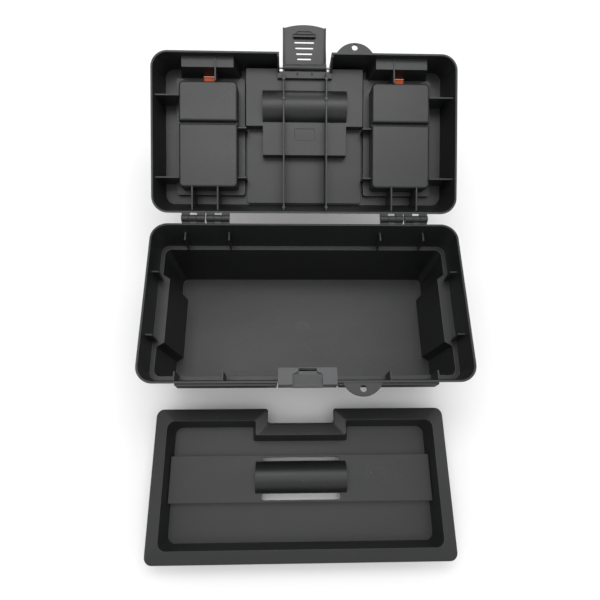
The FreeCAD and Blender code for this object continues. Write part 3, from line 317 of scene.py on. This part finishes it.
def moulded_plastic(name, colour, rough, depth, edge_highlight_share):
    """Satin injection-moulded plastic: fine mould grain, flow marks, rubbed edges, dust."""
    f = Finish(name)
    clouds = f.noise(CLOUD_WAVES, 3.0)
    flow = f.noise(1.0, 3.0, 0.6, f.stretched(FLOW_WAVES))
    grain = f.noise(GRAIN_WAVES, 2.0, 0.6)
    coarse = f.noise(COARSE_WAVES, 2.0)
    scratches = f.noise(1.0, 1.0, 0.4, f.stretched(SCRATCH_WAVES)).ramp(0.72, 0.78)
    dust = f.noise(SPECK_WAVES, 0.0).ramp(0.74, 0.80) * f.noise(DUSTY_WAVES, 2.0).ramp(0.45, 0.65)
    rounded = f.rounded(PLASTIC_ROUNDING)
    edge = f.edges(rounded)
    # Painted edge highlight: colour on the rounded edges is lightened, broken up by noise, to
    # stand in for light caught by the edges.
    edge_highlight = edge * f.noise(EDGE_HIGHLIGHT_WAVES, 3.0).ramp(0.15, 0.6) * edge_highlight_share
    tint = f.blend(clouds, rgba(colour, CLOUD_DARK), rgba(colour, CLOUD_LIGHT))
    tint = f.blend(edge_highlight, tint, rgba(colour, EDGE_HIGHLIGHT_GAIN))
    tint = f.blend(dust * DUST_SHARE, tint, rgba(DUST))
    roughness = (rough + (clouds - 0.5) * CLOUD_ROUGH + (flow - 0.5) * FLOW_ROUGH
                 + (coarse - 0.5) * COARSE_ROUGH + scratches * SCRATCH_ROUGH
                 - edge * EDGE_SMOOTH)
    height = grain + coarse * COARSE_RISE - scratches * SCRATCH_DEPTH
    normal = f.bumped(height, depth, rounded, PLASTIC_BUMP)
    return f.surface(Base_Color=tint, Roughness=roughness, Normal=normal,
                     IOR=PLASTIC_IOR)


def drawn_steel(name, colour):
    """Steel wire: fine drawing lines along X and darker spots."""
    f = Finish(name)
    lines = f.noise(1.0, 2.0, 0.6, f.stretched((40.0, 2600.0, 2600.0)))
    spots = f.noise(160.0, 3.0).ramp(0.5, 0.75)
    tint = f.blend(spots, rgba(colour), rgba(colour, 0.5))
    rounded = f.rounded(0.5 * MM)
    return f.surface(Base_Color=tint, Roughness=0.28 + lines * 0.14 + spots * 0.2,
                     Metallic=1.0, Normal=f.bumped(lines, 0.02 * MM, rounded, 0.5))


def backdrop_paper(name, colour):
    """Matt pale paper with a faint tooth."""
    f = Finish(name)
    tooth = f.noise(700.0, 3.0)
    tint = f.blend(f.noise(1.5, 2.0), rgba(colour, 0.985), rgba(colour, 1.0))
    return f.surface(Base_Color=tint, Roughness=0.85 + tooth * 0.1,
                     Normal=f.add("ShaderNodeBump", {}, {"Height": tooth, "Distance": 0.03 * MM}))


def finishes():
    """All materials by name, made once."""
    look = bpy.context.scene.toolbox_finish
    depth = look.grain_depth
    made = bpy.data.materials
    if "satin_shell" not in made:
        moulded_plastic("satin_shell", look.shell, look.shell_rough, depth, look.shell_edge_highlight)
        moulded_plastic("satin_tray", look.tray, look.tray_rough, depth, look.tray_edge_highlight)
        moulded_plastic("satin_fitting", look.fitting, look.fitting_rough, depth,
                        look.fitting_edge_highlight)
        moulded_plastic("grey_catch", look.catch, look.fitting_rough, depth, look.catch_edge_highlight)
        moulded_plastic("orange_clip", look.clip, look.clip_rough, depth * look.clip_grain,
                        look.clip_edge_highlight)
        drawn_steel("pin_steel", look.steel)
        backdrop_paper("backdrop_paper", look.backdrop)
    return made


# ---------------------------------------------------------------- making pieces

def add_object(name, mesh, material, body):
    """Put a finished mesh in the scene on one body."""
    piece = bpy.data.objects.new(name, mesh)
    bpy.context.scene.collection.objects.link(piece)
    mesh.materials.clear()
    mesh.materials.append(finishes()[material])
    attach(piece, body)
    return piece


def from_bmesh(name, bm):
    """A mesh with its normals made consistent; the bmesh is freed."""
    mesh = bpy.data.meshes.new(name)
    bmesh.ops.recalc_face_normals(bm, faces=bm.faces)
    bm.to_mesh(mesh)
    bm.free()
    return mesh


def round_off(piece, width):
    """Rounded moulded edges, with normals kept flat on the big faces."""
    piece.data.shade_smooth()
    piece.data.set_sharp_from_angle(angle=SHARP_ANGLE)
    bevel = piece.modifiers.new("moulded_edges", "BEVEL")
    bevel.width = width
    bevel.segments = EDGE_SEGMENTS
    bevel.limit_method = "ANGLE"
    bevel.angle_limit = SHARP_ANGLE
    bevel.use_clamp_overlap = True
    faces = piece.modifiers.new("flat_faces", "WEIGHTED_NORMAL")
    faces.mode = "FACE_AREA"
    faces.weight = AREA_WEIGHT
    faces.keep_sharp = True


def finish_node(node, material, width):
    """A merged copy of one CAD node with flat faces joined and edges rounded stands for it."""
    bm = bmesh.new()
    bm.from_mesh(frame["nodes"][node].data)
    bmesh.ops.remove_doubles(bm, verts=bm.verts, dist=MERGE_DISTANCE)
    bmesh.ops.dissolve_limit(bm, angle_limit=FLAT_ANGLE, verts=bm.verts, edges=bm.edges)
    mesh = bpy.data.meshes.new(node + "_moulded")
    bm.to_mesh(mesh)
    bm.free()
    piece = add_object(node + "_moulded", mesh, material, BODY_OF[node])
    round_off(piece, width)
    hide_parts(node)


def lathe(bm, profile, place, steps):
    """Turn a profile of (radius, height) about Z; radius 0 ends are closed to one point."""
    rings = []
    for radius, height in profile:
        if radius == 0:
            rings.append([bm.verts.new(place @ Vector((0, 0, height)))])
            continue
        ring = []
        for i in range(steps):
            turn = 2 * math.pi * i / steps
            ring.append(bm.verts.new(place @ Vector((radius * math.cos(turn),
                                                     radius * math.sin(turn), height))))
        rings.append(ring)
    for low, high in zip(rings, rings[1:]):
        for i in range(steps):
            j = (i + 1) % steps
            corners = [low[i % len(low)], low[j % len(low)], high[j % len(high)],
                       high[i % len(high)]]
            unique = list(dict.fromkeys(corners))
            if len(unique) > 2:
                bm.faces.new(unique)


# ---------------------------------------------------------------- pattern trees

def pattern_tree(name, inputs):
    """An empty geometry tree with named inputs and a geometry output."""
    tree = bpy.data.node_groups.new(name, "GeometryNodeTree")
    sockets = {}
    for label, kind in inputs:
        item = tree.interface.new_socket(label, in_out="INPUT", socket_type=kind)
        sockets[label] = item.identifier
    tree.interface.new_socket("Geometry", in_out="OUTPUT", socket_type="NodeSocketGeometry")
    nodes = Nodes(tree)
    source = tree.nodes.new("NodeGroupInput")
    wires = {label: Wire(nodes, source.outputs[label]) for label in sockets}
    return tree, nodes, wires, sockets


def close_tree(nodes, geometry, material):
    """Realize the instances, give them their material and lead them out."""
    real = nodes.add("GeometryNodeRealizeInstances", {}, {"Geometry": geometry})
    done = nodes.add("GeometryNodeSetMaterial", {}, {"Geometry": real, "Material": material})
    nodes.add("NodeGroupOutput", {}, {0: done})


def evaluated(name, tree, sockets, values):
    """Run a tree and return the plain mesh that it makes."""
    carrier = bpy.data.objects.new(name + "_carrier", bpy.data.meshes.new(name))
    bpy.context.scene.collection.objects.link(carrier)
    modifier = carrier.modifiers.new(name, "NODES")
    modifier.node_group = tree
    for label, value in values.items():
        modifier[sockets[label]] = value
    graph = bpy.context.evaluated_depsgraph_get()
    mesh = bpy.data.meshes.new_from_object(carrier.evaluated_get(graph))
    bpy.data.objects.remove(carrier)
    return mesh


def floor_pattern_tree(material):
    """A grid of low four-sided points."""
    tree, nodes, wires, sockets = pattern_tree("floor_pattern", [
        (label, "NodeSocketFloat") for label in ("Width", "Depth", "Pitch", "Foot", "Rise")])
    columns = nodes.add("ShaderNodeMath", {"operation": "ROUND"},
                        {0: wires["Width"] / wires["Pitch"]})
    rows = nodes.add("ShaderNodeMath", {"operation": "ROUND"},
                     {0: wires["Depth"] / wires["Pitch"]})
    grid = nodes.add("GeometryNodeMeshGrid", {}, {
        "Size X": wires["Width"], "Size Y": wires["Depth"],
        "Vertices X": columns, "Vertices Y": rows})
    point = nodes.add("GeometryNodeMeshCone", {"fill_type": "NONE"}, {
        "Vertices": 4, "Radius Top": 0.0, "Radius Bottom": wires["Foot"] / 2,
        "Depth": wires["Rise"]})
    placed = nodes.add("GeometryNodeInstanceOnPoints", {}, {"Points": grid, "Instance": point})
    close_tree(nodes, placed, material)
    return tree, sockets


# ---------------------------------------------------------------- operators

class PieceOperator(bpy.types.Operator):
    """Common to all: build runs once and any fault stops the script."""
    bl_options = {"REGISTER", "UNDO"}

    def execute(self, context):
        self.build(context.scene)
        return {"FINISHED"}


class TOOLBOX_OT_base(PieceOperator):
    """Box shell, with rounded edges and satin plastic"""
    bl_idname = "toolbox.base"
    bl_label = "Box shell"

    def build(self, scene):
        finish_node("base_shell", "satin_shell", scene.toolbox_detail.edge)


class TOOLBOX_OT_floor_pattern(PieceOperator):
    """Fine pattern of low points and the gate dish on the box floor"""
    bl_idname = "toolbox.floor_pattern"
    bl_label = "Floor pattern"

    def build(self, scene):
        detail = scene.toolbox_detail
        low, high = OPENINGS["tub"]
        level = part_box("base_shell")[0].z + detail.floor_thick
        tree, sockets = floor_pattern_tree(finishes()["satin_shell"])
        mesh = evaluated("floor_pattern", tree, sockets, {
            "Width": high.x - low.x, "Depth": high.y - low.y, "Pitch": detail.grain_pitch,
            "Foot": detail.grain_width, "Rise": detail.grain_rise})
        mesh.transform(Matrix.Translation(((low.x + high.x) / 2, (low.y + high.y) / 2,
                                           level - PATTERN_SINK)))
        add_object("floor_pattern", mesh, "satin_shell", "base")
        bm = bmesh.new()
        radius, rim = detail.gate_radius, detail.gate_rim
        lathe(bm, [(radius + rim, 0), (radius, detail.gate_rise),
                   (radius - rim, detail.gate_floor), (radius / 3, detail.gate_low),
                   (0, detail.gate_middle)],
              Matrix.Translation((0, 0, level)), GATE_STEPS)
        ring = add_object("floor_gate_ring", from_bmesh("floor_gate_ring", bm), "satin_shell",
                          "base")
        ring.data.shade_smooth()


class TOOLBOX_OT_catch(PieceOperator):
    """Latch catch on the front rim"""
    bl_idname = "toolbox.catch"
    bl_label = "Latch catch"

    def build(self, scene):
        finish_node("latch_catch", "grey_catch", scene.toolbox_detail.fine_edge)


class TOOLBOX_OT_lid(PieceOperator):
    """Lid shell with its ribs, bins and panel"""
    bl_idname = "toolbox.lid"
    bl_label = "Lid shell"

    def build(self, scene):
        finish_node("lid_shell", "satin_shell", scene.toolbox_detail.edge)


class TOOLBOX_OT_latch(PieceOperator):
    """Latch flap"""
    bl_idname = "toolbox.latch"
    bl_label = "Latch flap"

    def build(self, scene):
        finish_node("latch_flap", "satin_fitting", scene.toolbox_detail.flap_edge)


class TOOLBOX_OT_handle(PieceOperator):
    """Carrying handle"""
    bl_idname = "toolbox.handle"
    bl_label = "Handle"

    def build(self, scene):
        finish_node("handle", "satin_fitting", scene.toolbox_detail.edge)


class TOOLBOX_OT_covers(PieceOperator):
    """Organiser covers and their orange clips"""
    bl_idname = "toolbox.covers"
    bl_label = "Covers and clips"

    def build(self, scene):
        width = scene.toolbox_detail.fine_edge
        for side in ("left", "right"):
            finish_node("organiser_cover_" + side, "satin_shell", width)
            finish_node("organiser_clip_" + side, "orange_clip", width)


class TOOLBOX_OT_pins(PieceOperator):
    """Hinge pins and the latch pin"""
    bl_idname = "toolbox.pins"
    bl_label = "Pins"

    def build(self, scene):
        for node in ("hinge_pins", "latch_pin"):
            finish_node(node, "pin_steel", scene.toolbox_detail.pin_edge)


class TOOLBOX_OT_tray(PieceOperator):
    """Lift-out tray"""
    bl_idname = "toolbox.tray"
    bl_label = "Tray"

    def build(self, scene):
        finish_node("tray", "satin_tray", scene.toolbox_detail.edge)


class TOOLBOX_OT_stage(PieceOperator):
    """Floor, lights and camera"""
    bl_idname = "toolbox.stage"
    bl_label = "Stage"

    def build(self, scene):
        view = scene.toolbox_view
        low, high = CAD_BOUNDS
        middle = (low + high) / 2
        self.add_floor(middle, low.z)
        self.add_lights(scene, view, middle)
        self.add_camera(scene, view)

    def add_floor(self, middle, level):
        bm = bmesh.new()
        bmesh.ops.create_grid(bm, x_segments=8, y_segments=8, size=FLOOR_HALF)
        bm.transform(Matrix.Translation((middle.x, middle.y, level - FLOOR_DROP)))
        mesh = from_bmesh("backdrop", bm)
        if mesh.polygons[0].normal.z < 0:
            mesh.flip_normals()
        floor = bpy.data.objects.new("backdrop", mesh)
        mesh.materials.append(finishes()["backdrop_paper"])
        bpy.context.scene.collection.objects.link(floor)

    def add_lights(self, scene, view, middle):
        world = bpy.data.worlds.new("room")
        world.use_nodes = True
        background = world.node_tree.nodes["Background"]
        background.inputs["Color"].default_value = (1, 1, 1, 1)
        background.inputs["Strength"].default_value = view.sky
        scene.world = world
        # Each light's name, place, width and depth, and power.
        lights = (("softbox", (0.15, -0.62, 3.0), (2.6, 2.0), view.box_power),
                  ("lid_light", (-0.05, 0.27, 1.15), (1.0, 0.45), view.lid_power),
                  ("fill_left", (-2.6, -0.6, 1.6), (1.2, 1.2), view.fill_power),
                  ("fill_right", (2.6, 0.2, 1.6), (1.2, 1.2), view.fill_power),
                  ("fill_back", (0.3, 2.8, 1.3), (1.5, 0.8), view.fill_power))
        for name, place, spread, power in lights:
            lamp = bpy.data.lights.new(name, "AREA")
            lamp.shape = "RECTANGLE"
            lamp.size, lamp.size_y = spread
            lamp.energy = power
            rig = bpy.data.objects.new(name, lamp)
            toward = Vector((middle.x, middle.y, AIM_HEIGHT)) - Vector(place)
            rig.matrix_world = (Matrix.Translation(place)
                                @ toward.to_track_quat("-Z", "Y").to_matrix().to_4x4())
            scene.collection.objects.link(rig)

    def add_camera(self, scene, view):
        data = bpy.data.cameras.new("camera")
        data.lens = view.lens
        data.sensor_width = FILM_WIDTH
        data.clip_start = CLIP_START
        rig = bpy.data.objects.new("camera", data)
        rig.matrix_world = (Matrix.Translation(view.place)
                            @ Matrix.Rotation(view.pitch, 4, "X")
                            @ Matrix.Rotation(-view.yaw, 4, "Y"))
        scene.collection.objects.link(rig)
        scene.camera = rig
        scene.view_settings.view_transform = "Standard"


OPERATORS = (TOOLBOX_OT_base, TOOLBOX_OT_floor_pattern, TOOLBOX_OT_catch, TOOLBOX_OT_lid,
             TOOLBOX_OT_latch, TOOLBOX_OT_handle, TOOLBOX_OT_covers, TOOLBOX_OT_pins,
             TOOLBOX_OT_tray, TOOLBOX_OT_stage)
GROUPS = (("toolbox_finish", ToolboxFinish), ("toolbox_detail", ToolboxDetail),
          ("toolbox_view", ToolboxView))


class TOOLBOX_PT_pieces(bpy.types.Panel):
    """Lists the pieces and their sizes and colours"""
    bl_idname = "TOOLBOX_PT_pieces"
    bl_label = "Toolbox"
    bl_space_type = "VIEW_3D"
    bl_region_type = "UI"
    bl_category = "Toolbox"

    def draw(self, context):
        for operator in OPERATORS:
            self.layout.operator(operator.bl_idname)
        for attribute, group in GROUPS:
            column = self.layout.column(heading=group.__doc__)
            for name in group.__annotations__:
                column.prop(getattr(context.scene, attribute), name)


def register():
    for attribute, group in GROUPS:
        bpy.utils.register_class(group)
        setattr(bpy.types.Scene, attribute, PointerProperty(type=group))
    for operator in OPERATORS:
        bpy.utils.register_class(operator)
    bpy.utils.register_class(TOOLBOX_PT_pieces)


def unregister():
    bpy.utils.unregister_class(TOOLBOX_PT_pieces)
    for operator in reversed(OPERATORS):
        bpy.utils.unregister_class(operator)
    for attribute, group in reversed(GROUPS):
        delattr(bpy.types.Scene, attribute)
        bpy.utils.unregister_class(group)


def main():
    register()
    for operator in OPERATORS:
        family, name = operator.bl_idname.split(".")
        getattr(getattr(bpy.ops, family), name)()
    bpy.context.view_layer.update()


if __name__ == "__main__":
    main()
